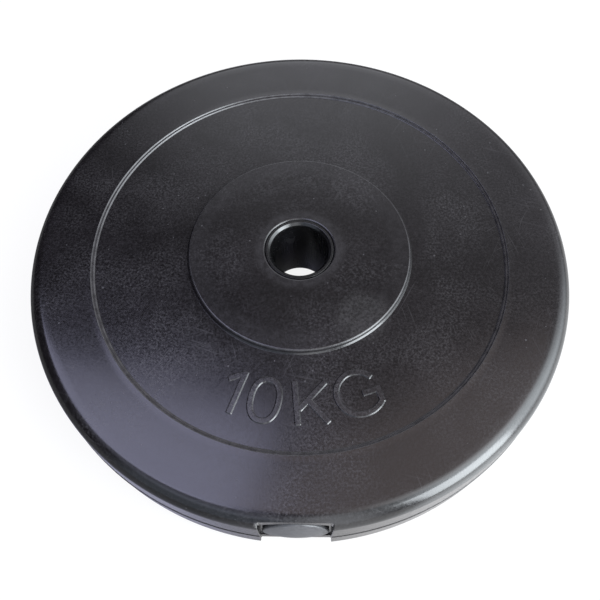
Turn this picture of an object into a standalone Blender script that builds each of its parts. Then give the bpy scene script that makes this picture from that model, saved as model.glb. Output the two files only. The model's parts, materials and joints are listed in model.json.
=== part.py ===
"""Plastic weight plate: a moulded shell, its heavy fill, a bore sleeve and a filler plug.

Metres, +Z up. The origin is the centre of the lower hub face, on the bore's axis, and the
filler notch in the rim points to -Y. Both faces of the plate are the same.
"""

import math

import bmesh
import bpy
from mathutils import Matrix, Vector

# Overall sizes
PLATE_RADIUS = 0.1465
PLATE_THICKNESS = 0.0505
BORE_RADIUS = 0.0155

# Raised hub round the bore
HUB_RADIUS = 0.0598
HUB_RISE = 0.0029
HUB_DRAFT = math.radians(15)
HUB_EDGE_ROUND = 0.0008
HUB_FOOT_ROUND = 0.0018
HUB_HOLE_ROUND = 0.0004

# Outer band, a step above the dish between the hub and the band
BAND_INNER_RADIUS = 0.1125
BAND_RISE = 0.0013
BAND_SLOPE_WIDTH = 0.0021
BAND_ROUND = 0.0015

# Rim wall, widest at the parting line of the two mould halves
RIM_ROUND = 0.0080
RIM_DRAFT = math.radians(1.2)
RIDGE_HEIGHT = 0.00025
RIDGE_FOOT_WIDTH = 0.0014
RIDGE_CREST_WIDTH = 0.0007

# Shell and sleeve walls, and the gap that touching pieces keep
SHELL_WALL = 0.0025
SLEEVE_WALL = 0.0030
FIT = 0.0003

# Sleeve that lines the bore
SLEEVE_END_RECESS = 0.0007
SLEEVE_END_LAND = 0.0004

# Port in the notch's back wall, and the sunk pocket with arched ends that seats the plug
PORT_RADIUS = 0.0140
SEAT_DEPTH = 0.0010
SEAT_CLEARANCE = 0.0006
POCKET_HALF_HEIGHT = 0.0145
POCKET_ARCH_RISE = 0.0030
POCKET_ARCH_STEPS = 8

# Notch in the rim, drafted so that both mould halves leave it; its back wall leans
NOTCH_DEPTH = 0.0041
NOTCH_BACK_LEAN = math.radians(0.6)
NOTCH_SIDE_MARGIN = 0.0001
NOTCH_SIDE_DRAFT = math.radians(2.2)
NOTCH_CORNER_ROUND = 0.0008
NOTCH_MOUTH_ROUND = 0.0009

# Filler plug, whose barbs hold behind the shell's wall
PLUG_HEAD_OVERLAP = 0.0021
PLUG_HEAD_THICKNESS = 0.0017
PLUG_HEAD_ROUND = 0.0010
PLUG_DOME_RISE = 0.0022
PLUG_STEM_WALL = 0.0018
PLUG_STEM_TIP = 0.0010
PLUG_WEB = 0.0018
BARB_COUNT = 3
BARB_PITCH = 0.0024
BARB_LENGTH = 0.0019
BARB_BACK_SLOPE = 0.0004
BARB_HEIGHT = 0.0010
STEM_CLEARANCE = 0.0008

# Fineness of the turned faces, and how far a cutter runs past what it cuts
PLATE_STEPS = 60
SLEEVE_STEPS = 48
PLUG_STEPS = 40
DOME_STEPS = 5
ARC_SIDE_SHARE = 0.95
MERGE = 0.00001
CUT_MARGIN = 0.010

# Sizes that follow from those above
MID_HEIGHT = PLATE_THICKNESS / 2
SLEEVE_RADIUS = BORE_RADIUS + SLEEVE_WALL
HOLE_RADIUS = SLEEVE_RADIUS + FIT
NOTCH_BACK = PLATE_RADIUS - NOTCH_DEPTH
SEAT_FLOOR = NOTCH_BACK - SEAT_DEPTH
PLUG_HEAD_RADIUS = PORT_RADIUS + PLUG_HEAD_OVERLAP
SEAT_RADIUS = PLUG_HEAD_RADIUS + SEAT_CLEARANCE
NOTCH_HALF_WIDTH = SEAT_RADIUS + NOTCH_SIDE_MARGIN
STEM_RADIUS = PORT_RADIUS - FIT
BARB_RADIUS = STEM_RADIUS + BARB_HEIGHT
STEM_LENGTH = SHELL_WALL + FIT + BARB_COUNT * BARB_PITCH + PLUG_STEM_TIP


def clear_scene():
    """Remove every object, so that only the plate is left in the file."""
    for old in list(bpy.data.objects):
        bpy.data.objects.remove(old, do_unlink=True)


def new_collection(name):
    """Return a new collection linked to the scene."""
    collection = bpy.data.collections.new(name)
    bpy.context.scene.collection.children.link(collection)
    return collection


def plain_material(name, colour, roughness, metallic=0.0):
    """Return a Principled material of one colour."""
    material = bpy.data.materials.new(name)
    material.use_nodes = True
    shader = material.node_tree.nodes["Principled BSDF"]
    shader.inputs["Base Color"].default_value = (*colour, 1.0)
    shader.inputs["Roughness"].default_value = roughness
    shader.inputs["Metallic"].default_value = metallic
    return material


def add_object(name, mesh, collection, material=None):
    """Link a mesh as an object, with its material where it is a part."""
    obj = bpy.data.objects.new(name, mesh)
    collection.objects.link(obj)
    if material:
        mesh.materials.append(material)
    else:
        obj.hide_render = True
        obj.display_type = "WIRE"
    return obj


def rounded(corners, closed):
    """Return the outline of corners (x, y, radius, steps), each an arc within its sides."""
    points = []
    last = len(corners) - 1
    for index, (x, y, radius, steps) in enumerate(corners):
        here = Vector((x, y))
        if radius <= 0 or (not closed and index in (0, last)):
            points.append(here)
            continue
        back = Vector(corners[index - 1][:2]) - here
        ahead = Vector(corners[(index + 1) % len(corners)][:2]) - here
        half_angle = back.angle(ahead) / 2
        room = ARC_SIDE_SHARE * min(back.length, ahead.length)
        reach = min(radius / math.tan(half_angle), room)
        back.normalize()
        ahead.normalize()
        centre = here + (back + ahead).normalized() * reach / math.cos(half_angle)
        start = here + back * reach - centre
        turn = math.copysign(math.pi - 2 * half_angle, back.cross(ahead) * -1)
        for step in range(steps + 1):
            points.append(centre + Matrix.Rotation(turn * step / steps, 2) @ start)
    return points


def inset(corners, distance):
    """Move a clockwise outline's corners inwards, with plainer arcs for a hidden face."""
    moved = []
    for index, (x, y, radius, steps) in enumerate(corners):
        here = Vector((x, y))
        before = (here - Vector(corners[index - 1][:2])).normalized()
        after = (Vector(corners[(index + 1) % len(corners)][:2]) - here).normalized()
        out_before = Vector((-before.y, before.x))
        out_after = Vector((-after.y, after.x))
        here -= (out_before + out_after) / (1 + out_before.dot(out_after)) * distance
        convex = before.cross(after) < 0
        new_radius = radius - distance if convex else radius + distance
        new_radius = max(new_radius, 0.0) if radius else 0.0
        moved.append((here.x, here.y, new_radius, max(steps // 2, 1)))
    return moved


def plate_corners():
    """Return the plate's section as corners, clockwise from the top of the bore."""
    dish = MID_HEIGHT - HUB_RISE
    band = dish + BAND_RISE
    hub_foot = HUB_RADIUS + HUB_RISE * math.tan(HUB_DRAFT)
    rim_top = PLATE_RADIUS - band * math.tan(RIM_DRAFT)
    upper = [
        (HOLE_RADIUS, MID_HEIGHT, HUB_HOLE_ROUND, 2),
        (HUB_RADIUS, MID_HEIGHT, HUB_EDGE_ROUND, 2),
        (hub_foot, dish, HUB_FOOT_ROUND, 2),
        (BAND_INNER_RADIUS - BAND_SLOPE_WIDTH, dish, BAND_ROUND, 1),
        (BAND_INNER_RADIUS, band, BAND_ROUND, 1),
        (rim_top, band, RIM_ROUND, 6),
    ]
    parting = [(PLATE_RADIUS, 0.0, 0.0, 1)]
    lower = [(r, -h, radius, steps) for r, h, radius, steps in reversed(upper)]
    return upper + parting + lower


def with_ridge(corners):
    """Put the trimmed parting ridge in place of the corner at mid-height."""
    middle = len(corners) // 2
    foot = RIDGE_FOOT_WIDTH / 2
    crest = RIDGE_CREST_WIDTH / 2
    foot_radius = PLATE_RADIUS - foot * math.tan(RIM_DRAFT)
    ridge = [
        (foot_radius, foot, 0.0, 1),
        (PLATE_RADIUS + RIDGE_HEIGHT, crest, 0.0, 1),
        (PLATE_RADIUS + RIDGE_HEIGHT, -crest, 0.0, 1),
        (foot_radius, -foot, 0.0, 1),
    ]
    return corners[:middle] + ridge + corners[middle + 1 :]


def turned_mesh(name, points, closed, base_height):
    """Return the mesh of a section's outline in the XZ plane, ready for a Screw."""
    shape = bmesh.new()
    verts = [shape.verts.new((r, 0.0, base_height + h)) for r, h in points]
    for first, second in zip(verts, verts[1:]):
        shape.edges.new((first, second))
    if closed:
        shape.edges.new((verts[-1], verts[0]))
    mesh = bpy.data.meshes.new(name)
    shape.to_mesh(mesh)
    shape.free()
    return mesh


def add_turning(obj, steps):
    """Turn an object's outline about its own Z axis."""
    screw = obj.modifiers.new("Turning", "SCREW")
    screw.axis = "Z"
    screw.angle = math.tau
    screw.steps = steps
    screw.render_steps = steps
    screw.use_merge_vertices = True
    screw.merge_threshold = MERGE
    screw.use_smooth_shade = True
    return obj


def cut(obj, cutter, name):
    """Cut one object with another."""
    boolean = obj.modifiers.new(name, "BOOLEAN")
    boolean.operation = "DIFFERENCE"
    boolean.solver = "EXACT"
    boolean.object = cutter
    return obj


def notch_outline(grow, back):
    """Return the notch's plan, wider by grow on each side, with its back wall at -back."""
    side = NOTCH_HALF_WIDTH + grow
    shoulder = math.sqrt(PLATE_RADIUS**2 - side**2)
    outside = PLATE_RADIUS + CUT_MARGIN
    flare = side + outside - shoulder
    corners = [
        (-flare, -outside, 0.0, 1),
        (-side, -shoulder, NOTCH_MOUTH_ROUND, 3),
        (-side, -back, NOTCH_CORNER_ROUND, 2),
        (side, -back, NOTCH_CORNER_ROUND, 2),
        (side, -shoulder, NOTCH_MOUTH_ROUND, 3),
        (flare, -outside, 0.0, 1),
    ]
    return rounded(corners, closed=True)


def notch_block(name, collection, grow=0.0, back=NOTCH_BACK, lean=0.0):
    """Return a block of the notch's plan, which widens away from mid-height and leans."""
    reach = MID_HEIGHT + CUT_MARGIN
    spread = reach * math.tan(NOTCH_SIDE_DRAFT)
    levels = [(reach, grow + spread), (0.0, grow), (-reach, grow + spread)]
    shape = bmesh.new()
    rings = []
    for height, wider in levels:
        shift = height * math.tan(lean)
        outline = notch_outline(wider, back)
        ring = [shape.verts.new((p.x, p.y - shift, MID_HEIGHT + height)) for p in outline]
        rings.append(ring)
    for above, below in zip(rings, rings[1:]):
        for index in range(len(above)):
            after = (index + 1) % len(above)
            shape.faces.new((above[index], above[after], below[after], below[index]))
    shape.faces.new(rings[0])
    shape.faces.new(rings[-1])
    bmesh.ops.recalc_face_normals(shape, faces=shape.faces)
    mesh = bpy.data.meshes.new(name)
    shape.to_mesh(mesh)
    shape.free()
    return add_object(name, mesh, collection)


def pocket_outline():
    """Return the pocket's outline (x, height): sides drafted as the notch's, ends arched."""
    side = SEAT_RADIUS + POCKET_HALF_HEIGHT * math.tan(NOTCH_SIDE_DRAFT)
    shares = [2 * step / POCKET_ARCH_STEPS - 1 for step in range(POCKET_ARCH_STEPS + 1)]
    arch = [
        (side * share, POCKET_HALF_HEIGHT + POCKET_ARCH_RISE * (1 - share**2))
        for share in shares
    ]
    lower = [(x, -height) for x, height in reversed(arch)]
    return [*arch, (SEAT_RADIUS, 0.0), *lower, (-SEAT_RADIUS, 0.0)]


def pocket_block(name, collection):
    """Return a block of the plug's pocket, from its floor outwards."""
    shape = bmesh.new()
    floor = [shape.verts.new((x, -SEAT_FLOOR, MID_HEIGHT + h)) for x, h in pocket_outline()]
    made = bmesh.ops.extrude_face_region(shape, geom=[shape.faces.new(floor)])["geom"]
    outer = [item for item in made if isinstance(item, bmesh.types.BMVert)]
    depth = PLATE_RADIUS + CUT_MARGIN - SEAT_FLOOR
    bmesh.ops.translate(shape, verts=outer, vec=(0.0, -depth, 0.0))
    bmesh.ops.recalc_face_normals(shape, faces=shape.faces)
    mesh = bpy.data.meshes.new(name)
    shape.to_mesh(mesh)
    shape.free()
    return add_object(name, mesh, collection)


def radial_cylinder(name, collection, radius, inner_end, outer_end):
    """Return a cylinder that lies along -Y at mid-height, between two distances."""
    shape = bmesh.new()
    bmesh.ops.create_cone(
        shape,
        cap_ends=True,
        segments=PLUG_STEPS,
        radius1=radius,
        radius2=radius,
        depth=outer_end - inner_end,
        matrix=Matrix.Rotation(math.radians(90), 4, "X"),
    )
    mesh = bpy.data.meshes.new(name)
    shape.to_mesh(mesh)
    shape.free()
    cylinder = add_object(name, mesh, collection)
    cylinder.location = (0.0, -(inner_end + outer_end) / 2, MID_HEIGHT)
    return cylinder


def build_cavity(cutters):
    """Return the hollow inside the shell, with the wall kept even round the notch."""
    section = rounded(inset(plate_corners(), SHELL_WALL), closed=True)
    mesh = turned_mesh("shell_cavity", section, True, MID_HEIGHT)
    cavity = add_turning(add_object("shell_cavity", mesh, cutters), PLATE_STEPS)
    keep = notch_block("notch_wall", cutters, SHELL_WALL, SEAT_FLOOR - SHELL_WALL)
    return cut(cavity, keep, "Notch wall")


def build_outer_shell(parts, cutters):
    """Build the hollow moulded shell, with its bore tube, rim notch and filler port."""
    material = plain_material("shell_plastic", (0.035, 0.034, 0.038), 0.42)
    section = rounded(with_ridge(plate_corners()), closed=True)
    mesh = turned_mesh("outer_shell", section, True, MID_HEIGHT)
    shell = add_turning(add_object("outer_shell", mesh, parts, material), PLATE_STEPS)
    outside = PLATE_RADIUS + CUT_MARGIN
    inside = SEAT_FLOOR - CUT_MARGIN
    port = radial_cylinder("filler_port", cutters, PORT_RADIUS, inside, outside)
    notch = notch_block("rim_notch", cutters, lean=NOTCH_BACK_LEAN)
    cut(shell, notch, "Rim notch")
    cut(shell, build_cavity(cutters), "Cavity")
    cut(shell, pocket_block("plug_pocket", cutters), "Plug pocket")
    cut(shell, port, "Filler port")
    return shell


def build_weight_fill(parts, cutters):
    """Build the cast fill, which takes up the hollow behind the shell's wall."""
    material = plain_material("fill_concrete", (0.30, 0.29, 0.27), 0.95)
    depth = SHELL_WALL + FIT
    section = rounded(inset(plate_corners(), depth), closed=True)
    mesh = turned_mesh("weight_fill", section, True, MID_HEIGHT)
    fill = add_turning(add_object("weight_fill", mesh, parts, material), PLATE_STEPS)
    hollow_radius = BARB_RADIUS + STEM_CLEARANCE
    hollow_end = SEAT_FLOOR - STEM_LENGTH - STEM_CLEARANCE
    hollow = radial_cylinder("stem_hollow", cutters, hollow_radius, hollow_end, PLATE_RADIUS)
    cut(fill, notch_block("fill_notch", cutters, depth, SEAT_FLOOR - depth), "Notch")
    cut(fill, hollow, "Stem hollow")
    return fill


def build_bore_sleeve(parts):
    """Build the tube that lines the bore, with a round lip at each end."""
    material = plain_material("sleeve_plastic", (0.030, 0.030, 0.032), 0.38)
    top = MID_HEIGHT - SLEEVE_END_RECESS
    lip = SLEEVE_WALL - SLEEVE_END_LAND
    corners = [
        (BORE_RADIUS, top, lip, 5),
        (SLEEVE_RADIUS, top, 0.0, 1),
        (SLEEVE_RADIUS, -top, 0.0, 1),
        (BORE_RADIUS, -top, lip, 5),
    ]
    mesh = turned_mesh("bore_sleeve", rounded(corners, closed=True), True, MID_HEIGHT)
    return add_turning(add_object("bore_sleeve", mesh, parts, material), SLEEVE_STEPS)


def plug_section():
    """Return half of the plug's section, from the crown of its head to the stem's web."""
    crown = []
    for step in range(DOME_STEPS):
        share = step / DOME_STEPS
        height = PLUG_HEAD_THICKNESS + PLUG_DOME_RISE * (1 - share**2)
        crown.append((PLUG_HEAD_RADIUS * share, height, 0.0, 1))
    edge = (PLUG_HEAD_RADIUS, PLUG_HEAD_THICKNESS, PLUG_HEAD_ROUND, 3)
    head = rounded(crown + [edge, (PLUG_HEAD_RADIUS, FIT, 0.0, 1)], closed=False)
    stem = [Vector((STEM_RADIUS, FIT))]
    for index in range(BARB_COUNT):
        shoulder = -SHELL_WALL - FIT - index * BARB_PITCH
        stem.append(Vector((STEM_RADIUS, shoulder)))
        stem.append(Vector((BARB_RADIUS, shoulder - BARB_BACK_SLOPE)))
        stem.append(Vector((STEM_RADIUS, shoulder - BARB_LENGTH)))
    stem_inner = STEM_RADIUS - PLUG_STEM_WALL
    web = PLUG_HEAD_THICKNESS - PLUG_WEB
    inside = [
        Vector((STEM_RADIUS, -STEM_LENGTH)),
        Vector((stem_inner, -STEM_LENGTH)),
        Vector((stem_inner, web)),
        Vector((0.0, web)),
    ]
    return head + stem + inside


def build_filler_plug(parts):
    """Build the push-in plug: a low round head on a hollow stem with barbs."""
    material = plain_material("plug_plastic", (0.075, 0.075, 0.078), 0.45)
    mesh = turned_mesh("filler_plug", plug_section(), False, 0.0)
    plug = add_turning(add_object("filler_plug", mesh, parts, material), PLUG_STEPS)
    plug.location = (0.0, -SEAT_FLOOR, MID_HEIGHT)
    plug.rotation_euler = (math.radians(90), 0.0, 0.0)
    return plug


def main():
    """Build the four pieces of the plate."""
    clear_scene()
    parts = new_collection("plastic_weight_plate")
    cutters = new_collection("cutters")
    build_outer_shell(parts, cutters)
    build_weight_fill(parts, cutters)
    build_bore_sleeve(parts)
    build_filler_plug(parts)


main()
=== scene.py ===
"""Looks of a plastic weight plate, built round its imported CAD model.

The moulded shell, the bore sleeve and the filler plug are remade with smooth curves and
rounded edges in the places of their CAD nodes, the raised weight mark is added on the dish,
and every piece gets a procedural finish. Metres, +Z up, the filler notch towards -Y.
"""

import json
import logging
import math
from dataclasses import dataclass, field
from enum import Enum
from typing import Callable, Sequence

import bmesh
import bpy
from mathutils import Matrix, Vector

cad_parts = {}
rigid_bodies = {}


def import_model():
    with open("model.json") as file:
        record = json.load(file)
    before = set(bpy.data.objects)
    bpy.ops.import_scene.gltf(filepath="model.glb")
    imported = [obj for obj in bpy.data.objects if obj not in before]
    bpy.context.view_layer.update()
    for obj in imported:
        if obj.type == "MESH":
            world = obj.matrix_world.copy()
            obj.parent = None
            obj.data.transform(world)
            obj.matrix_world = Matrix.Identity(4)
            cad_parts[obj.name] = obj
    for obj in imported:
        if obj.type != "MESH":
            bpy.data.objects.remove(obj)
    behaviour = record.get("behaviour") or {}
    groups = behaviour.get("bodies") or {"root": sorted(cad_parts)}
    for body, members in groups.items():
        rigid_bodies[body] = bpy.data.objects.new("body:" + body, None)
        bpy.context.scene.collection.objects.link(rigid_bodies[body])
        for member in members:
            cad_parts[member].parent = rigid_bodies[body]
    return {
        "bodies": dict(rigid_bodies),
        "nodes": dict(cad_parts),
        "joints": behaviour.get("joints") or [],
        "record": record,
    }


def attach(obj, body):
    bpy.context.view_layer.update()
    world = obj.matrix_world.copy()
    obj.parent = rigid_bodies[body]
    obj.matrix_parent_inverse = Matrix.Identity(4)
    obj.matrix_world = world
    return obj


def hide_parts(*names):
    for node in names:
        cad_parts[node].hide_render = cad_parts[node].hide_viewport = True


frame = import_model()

LOG = logging.getLogger("weight_plate")
MM = 0.001
ARC_SIDE_SHARE = 0.95
OVAL_FULLNESS = 2.3
Corner = tuple[float, float, float, int]
Colour = tuple[float, float, float]


# ---------------------------------------------------------------- sizes


@dataclass(frozen=True)
class PlateSizes:
    """Sizes that the pieces share.

    They are the CAD model's, apart from the hub's draft and roundings and the sleeve's lip,
    which are finer here.
    """

    radius: float = 0.1465
    thickness: float = 0.0505
    bore_radius: float = 0.0155
    hub_radius: float = 0.0598
    hub_rise: float = 0.0029
    hub_draft: float = math.radians(12)
    hub_edge_round: float = 0.0010
    hub_foot_round: float = 0.0018
    hub_hole_round: float = 0.0011
    band_inner_radius: float = 0.1125
    band_rise: float = 0.0013
    band_slope_width: float = 0.0021
    band_round: float = 0.0015
    rim_round: float = 0.0080
    rim_draft: float = math.radians(1.2)
    ridge_height: float = 0.00025
    ridge_foot_width: float = 0.0014
    ridge_crest_width: float = 0.0007
    shell_wall: float = 0.0025
    sleeve_wall: float = 0.0030
    fit: float = 0.0003
    sleeve_end_recess: float = 0.0004
    sleeve_end_land: float = 0.0013
    port_radius: float = 0.0140
    seat_depth: float = 0.0010
    pocket_half_width: float = 0.0167
    pocket_half_height: float = 0.0145
    pocket_arch_rise: float = 0.0030
    notch_depth: float = 0.0041
    notch_half_width: float = 0.0168
    notch_side_draft: float = math.radians(2.2)
    notch_back_lean: float = math.radians(0.6)
    notch_corner_round: float = 0.0008
    plug_head_radius: float = 0.0161
    plug_head_thickness: float = 0.0017
    plug_head_round: float = 0.0010
    plug_dome_rise: float = 0.0022
    cut_margin: float = 0.010

    @property
    def mid(self) -> float:
        """Height of the parting plane."""
        return self.thickness / 2

    @property
    def dish(self) -> float:
        """Height of the dish above the parting plane."""
        return self.mid - self.hub_rise

    @property
    def band(self) -> float:
        """Height of the outer band above the parting plane."""
        return self.dish + self.band_rise

    @property
    def sleeve_radius(self) -> float:
        """Outer radius of the bore sleeve."""
        return self.bore_radius + self.sleeve_wall

    @property
    def hole_radius(self) -> float:
        """Radius of the hole that takes the sleeve."""
        return self.sleeve_radius + self.fit

    @property
    def notch_back(self) -> float:
        """Distance of the notch's back wall from the bore's axis."""
        return self.radius - self.notch_depth

    @property
    def seat_floor(self) -> float:
        """Distance of the plug's seat from the bore's axis."""
        return self.notch_back - self.seat_depth


# ---------------------------------------------------------------- mesh helpers


def rounded(corners: Sequence[Corner], closed: bool) -> list[Vector]:
    """Draw an outline whose corners are arcs within their sides.

    Args:
        corners: Corners as (x, y, radius, steps).
        closed: Whether the last corner leads back to the first.

    Returns:
        The outline's points.
    """
    points: list[Vector] = []
    last = len(corners) - 1
    for index, (x, y, radius, steps) in enumerate(corners):
        here = Vector((x, y))
        if radius <= 0 or (not closed and index in (0, last)):
            points.append(here)
            continue
        back = Vector(corners[index - 1][:2]) - here
        ahead = Vector(corners[(index + 1) % len(corners)][:2]) - here
        half_angle = back.angle(ahead) / 2
        room = ARC_SIDE_SHARE * min(back.length, ahead.length)
        reach = min(radius / math.tan(half_angle), room)
        back.normalize()
        ahead.normalize()
        centre = here + (back + ahead).normalized() * reach / math.cos(half_angle)
        start = here + back * reach - centre
        turn = math.copysign(math.pi - 2 * half_angle, back.cross(ahead) * -1)
        for step in range(steps + 1):
            points.append(centre + Matrix.Rotation(turn * step / steps, 2) @ start)
    return points


def mirrored(corners: Sequence[Corner]) -> list[Corner]:
    """Return corners below the parting plane, in order, for corners above it."""
    return [(x, -height, radius, steps) for x, height, radius, steps in reversed(corners)]


def wire(shape: bmesh.types.BMesh, places: Sequence[Vector], closed: bool) -> list:
    """Add a line of vertices and edges to a bmesh.

    Args:
        shape: The bmesh to add to.
        places: The line's points.
        closed: Whether the line is a loop.

    Returns:
        The new vertices and edges.
    """
    verts = [shape.verts.new(place) for place in places]
    edges = [shape.edges.new(pair) for pair in zip(verts, verts[1:])]
    if closed:
        edges.append(shape.edges.new((verts[-1], verts[0])))
    return verts + edges


def finish_mesh(shape: bmesh.types.BMesh, name: str, merge: float = 1e-6) -> bpy.types.Object:
    """Close a bmesh, turn its faces outwards and link it as an object.

    Args:
        shape: The bmesh, which is freed.
        name: The object's name.
        merge: Distance under which vertices become one.

    Returns:
        The linked object, at the origin.
    """
    bmesh.ops.remove_doubles(shape, verts=shape.verts, dist=merge)
    bmesh.ops.recalc_face_normals(shape, faces=shape.faces)
    mesh = bpy.data.meshes.new(name)
    shape.to_mesh(mesh)
    shape.free()
    obj = bpy.data.objects.new(name, mesh)
    bpy.context.scene.collection.objects.link(obj)
    return obj


def turned(
    name: str, section: Sequence[Vector], closed: bool, steps: int, base: float = 0.0
) -> bpy.types.Object:
    """Spin a section of (radius, height) points about Z.

    Args:
        name: The object's name.
        section: The section's points, from top to bottom on the outer side.
        closed: Whether the section is a loop.
        steps: Number of steps in the full turn.
        base: Height that is added to the section's heights.

    Returns:
        The turned object.
    """
    shape = bmesh.new()
    half_step = Matrix.Rotation(math.pi / steps, 3, "Z")
    places = [half_step @ Vector((p.x, 0.0, base + p.y)) for p in section]
    geometry = wire(shape, places, closed)
    bmesh.ops.spin(
        shape,
        geom=geometry,
        cent=(0.0, 0.0, 0.0),
        axis=(0.0, 0.0, 1.0),
        dvec=(0.0, 0.0, 0.0),
        angle=math.tau,
        steps=steps,
        use_merge=True,
        use_duplicate=False,
    )
    return finish_mesh(shape, name)


def lofted(name: str, loops: Sequence[Sequence[Vector]], cyclic: bool) -> bpy.types.Object:
    """Bridge a row of loops into a closed body.

    Args:
        name: The object's name.
        loops: The loops, each with the same number of points.
        cyclic: Whether the last loop is bridged to the first; otherwise both ends are closed.

    Returns:
        The lofted object.
    """
    shape = bmesh.new()
    rings = []
    for loop in loops:
        made = wire(shape, loop, closed=True)
        rings.append([e for e in made if isinstance(e, bmesh.types.BMEdge)])
    pairs = list(zip(rings, rings[1:]))
    if cyclic:
        pairs.append((rings[-1], rings[0]))
    for first, second in pairs:
        bmesh.ops.bridge_loops(shape, edges=first + second)
    if not cyclic:
        bmesh.ops.holes_fill(shape, edges=rings[0] + rings[-1], sides=0)
    return finish_mesh(shape, name)


def combine(base: bpy.types.Object, others: Sequence[bpy.types.Object], operation: str) -> None:
    """Apply Booleans to an object and remove what they used.

    Args:
        base: The object whose mesh changes.
        others: The objects to cut with or to add, in order.
        operation: DIFFERENCE or UNION.
    """
    for other in others:
        boolean = base.modifiers.new(other.name, "BOOLEAN")
        boolean.operation = operation
        boolean.solver = "EXACT"
        boolean.object = other
    bpy.context.view_layer.update()
    graph = bpy.context.evaluated_depsgraph_get()
    made = bpy.data.meshes.new_from_object(base.evaluated_get(graph))
    base.modifiers.clear()
    base.data = made
    for other in others:
        bpy.data.objects.remove(other, do_unlink=True)


def shade(obj: bpy.types.Object, sharp_angle: float) -> None:
    """Shade a piece smoothly, apart from the edges that turn further than an angle.

    Args:
        obj: The piece.
        sharp_angle: The angle in degrees.
    """
    obj.data.shade_smooth()
    obj.data.set_sharp_from_angle(angle=math.radians(sharp_angle))
    weighted = obj.modifiers.new("Weighted normals", "WEIGHTED_NORMAL")
    weighted.keep_sharp = True


# ---------------------------------------------------------------- node helpers


class Nodes:
    """Short hands for adding and linking shader nodes in one tree."""

    def __init__(self, tree: bpy.types.NodeTree) -> None:
        """Keep the tree that nodes are added to."""
        self.tree = tree

    def add(self, kind: str, **settings: object) -> bpy.types.Node:
        """Add a node.

        Args:
            kind: The node's type name.
            **settings: Properties of the node; an "inputs" dict sets sockets by name.

        Returns:
            The new node.
        """
        inputs = settings.pop("inputs", {})
        node = self.tree.nodes.new(kind)
        for key, value in settings.items():
            setattr(node, key, value)
        for key, value in inputs.items():
            self.feed(node.inputs[key], value)
        return node

    def feed(self, socket: bpy.types.NodeSocket, value: object) -> None:
        """Link an output socket to an input, or set the input's value.

        Args:
            socket: The input socket.
            value: An output socket or a plain value.
        """
        if isinstance(value, bpy.types.NodeSocket):
            self.tree.links.new(value, socket)
        else:
            socket.default_value = value

    def math(self, operation: str, *values: object, clamp: bool = False) -> bpy.types.NodeSocket:
        """Add a Math node.

        Args:
            operation: The Math node's operation.
            *values: Sockets or numbers for its inputs.
            clamp: Whether the result is kept from 0 to 1.

        Returns:
            The result's socket.
        """
        node = self.add("ShaderNodeMath", operation=operation, use_clamp=clamp)
        for socket, value in zip(node.inputs, values):
            self.feed(socket, value)
        return node.outputs[0]

    def ramp(self, value: object, low: float, high: float, to: tuple = (0.0, 1.0)) -> object:
        """Map a range of a value smoothly onto another and keep it there.

        Args:
            value: The value's socket.
            low: Value that maps to the first number of to.
            high: Value that maps to the second number of to.
            to: The two results.

        Returns:
            The result's socket.
        """
        node = self.add(
            "ShaderNodeMapRange",
            interpolation_type="SMOOTHSTEP",
            inputs={"From Min": low, "From Max": high, "To Min": to[0], "To Max": to[1]},
        )
        self.feed(node.inputs["Value"], value)
        return node.outputs["Result"]

    def mix(self, share: object, first: object, second: object) -> bpy.types.NodeSocket:
        """Mix two colours.

        Args:
            share: How much of the second colour shows.
            first: The first colour or its socket.
            second: The second colour or its socket.

        Returns:
            The mixed colour's socket.
        """
        node = self.add("ShaderNodeMix", data_type="RGBA")
        self.feed(node.inputs["Factor"], share)
        self.feed(node.inputs[6], first)
        self.feed(node.inputs[7], second)
        return node.outputs[2]

    def noise(self, vector: object, scale: float, detail: float = 2.0) -> bpy.types.NodeSocket:
        """Add a Noise texture.

        Args:
            vector: Socket of the coordinates.
            scale: Features per metre.
            detail: Number of finer layers.

        Returns:
            The noise's value socket.
        """
        node = self.add("ShaderNodeTexNoise", inputs={"Scale": scale, "Detail": detail})
        self.feed(node.inputs["Vector"], vector)
        return node.outputs[0]

    def group(self, tree: bpy.types.NodeTree, **inputs: object) -> bpy.types.Node:
        """Place a node group.

        Args:
            tree: The group.
            **inputs: Values or sockets for its inputs.

        Returns:
            The group's node.
        """
        return self.add("ShaderNodeGroup", node_tree=tree, inputs=inputs)

    def placed(
        self, vector: object, turn: float, scale: tuple, shift: tuple = (0.0, 0.0, 0.0)
    ) -> bpy.types.NodeSocket:
        """Turn and stretch coordinates.

        Args:
            vector: Socket of the coordinates.
            turn: Turn about Z in degrees.
            scale: Scale along each axis after the turn.
            shift: Shift in metres.

        Returns:
            The new coordinates' socket.
        """
        turned_node = self.add("ShaderNodeMapping", vector_type="POINT")
        self.feed(turned_node.inputs["Vector"], vector)
        turned_node.inputs["Rotation"].default_value = (0.0, 0.0, math.radians(turn))
        turned_node.inputs["Location"].default_value = shift
        stretched = self.add("ShaderNodeMapping", vector_type="POINT")
        self.feed(stretched.inputs["Vector"], turned_node.outputs[0])
        stretched.inputs["Scale"].default_value = scale
        return stretched.outputs[0]


def new_group(name: str, inputs: dict, outputs: Sequence[str] = ("Mask",)) -> tuple:
    """Make an empty shader node group.

    Args:
        name: The group's name.
        inputs: Names of the inputs with their default numbers; None makes a vector input.
        outputs: Names of the value outputs.

    Returns:
        The group's helper, its input node and its output node.
    """
    tree = bpy.data.node_groups.new(name, "ShaderNodeTree")
    for key, value in inputs.items():
        kind = "NodeSocketVector" if value is None else "NodeSocketFloat"
        socket = tree.interface.new_socket(key, in_out="INPUT", socket_type=kind)
        if value is not None:
            socket.default_value = value
    for key in outputs:
        tree.interface.new_socket(key, in_out="OUTPUT", socket_type="NodeSocketFloat")
    nodes = Nodes(tree)
    return nodes, nodes.add("NodeGroupInput"), nodes.add("NodeGroupOutput")


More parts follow.
